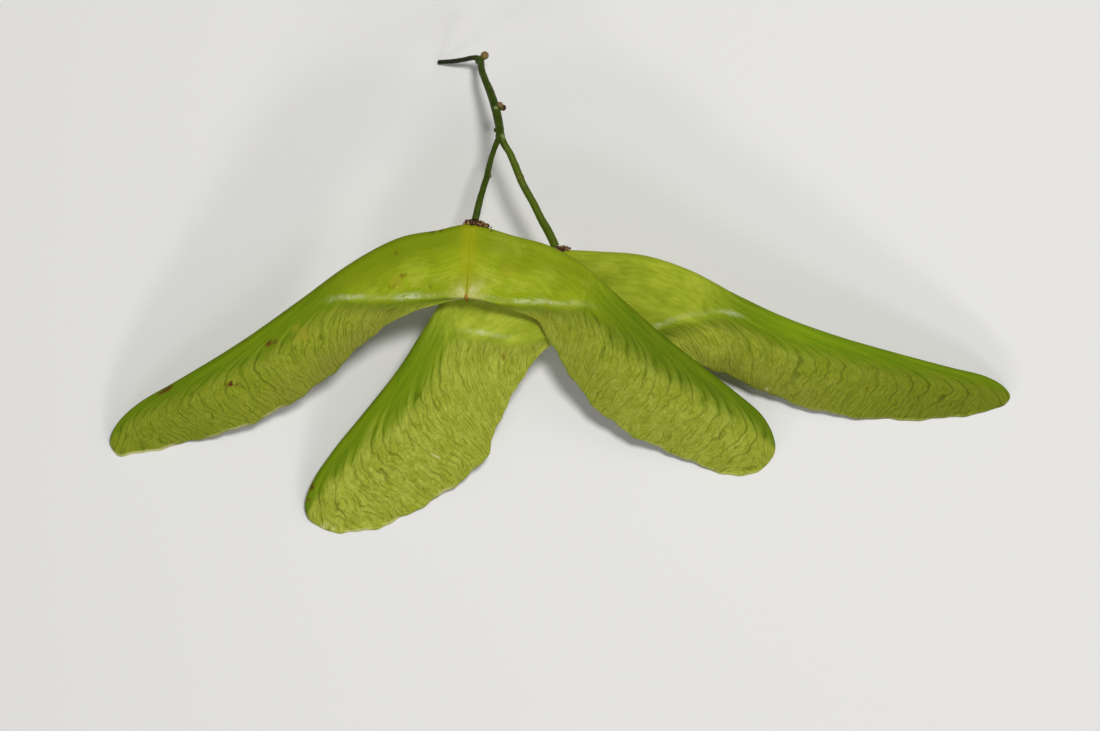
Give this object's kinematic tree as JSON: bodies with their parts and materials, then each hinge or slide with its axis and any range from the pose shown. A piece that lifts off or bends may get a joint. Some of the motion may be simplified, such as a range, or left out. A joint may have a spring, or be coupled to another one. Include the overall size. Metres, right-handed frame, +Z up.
{
  "type": "maple samara cluster",
  "caption": "Green winged maple fruit: flat seed cases with long veined wings, joined in keys on a forked stalk and lying on a surface.",
  "frame": {"origin": "on the surface that it lies on, at the centre of its outline", "axes": "+Z up from the surface, +X along its longest reach from wing tip to wing tip, +Y towards the stalk's end"},
  "size_m": [0.1003, 0.0537, 0.0189],
  "materials": {
    "wing": "soft waxy sheen, glossier on the seed case's shoulder",
    "stalk": "smooth green skin",
    "dry_calyx": "dry and matt"
  },
  "bodies": {
    "root": {"stalk": "stalk", "front_calyx": "dry_calyx", "back_calyx": "dry_calyx", "front_style": "dry_calyx", "back_style": "dry_calyx", "front_left_half": "wing", "front_right_half": "wing", "back_left_half": "wing", "back_right_half": "wing"}
  },
  "joints": []
}
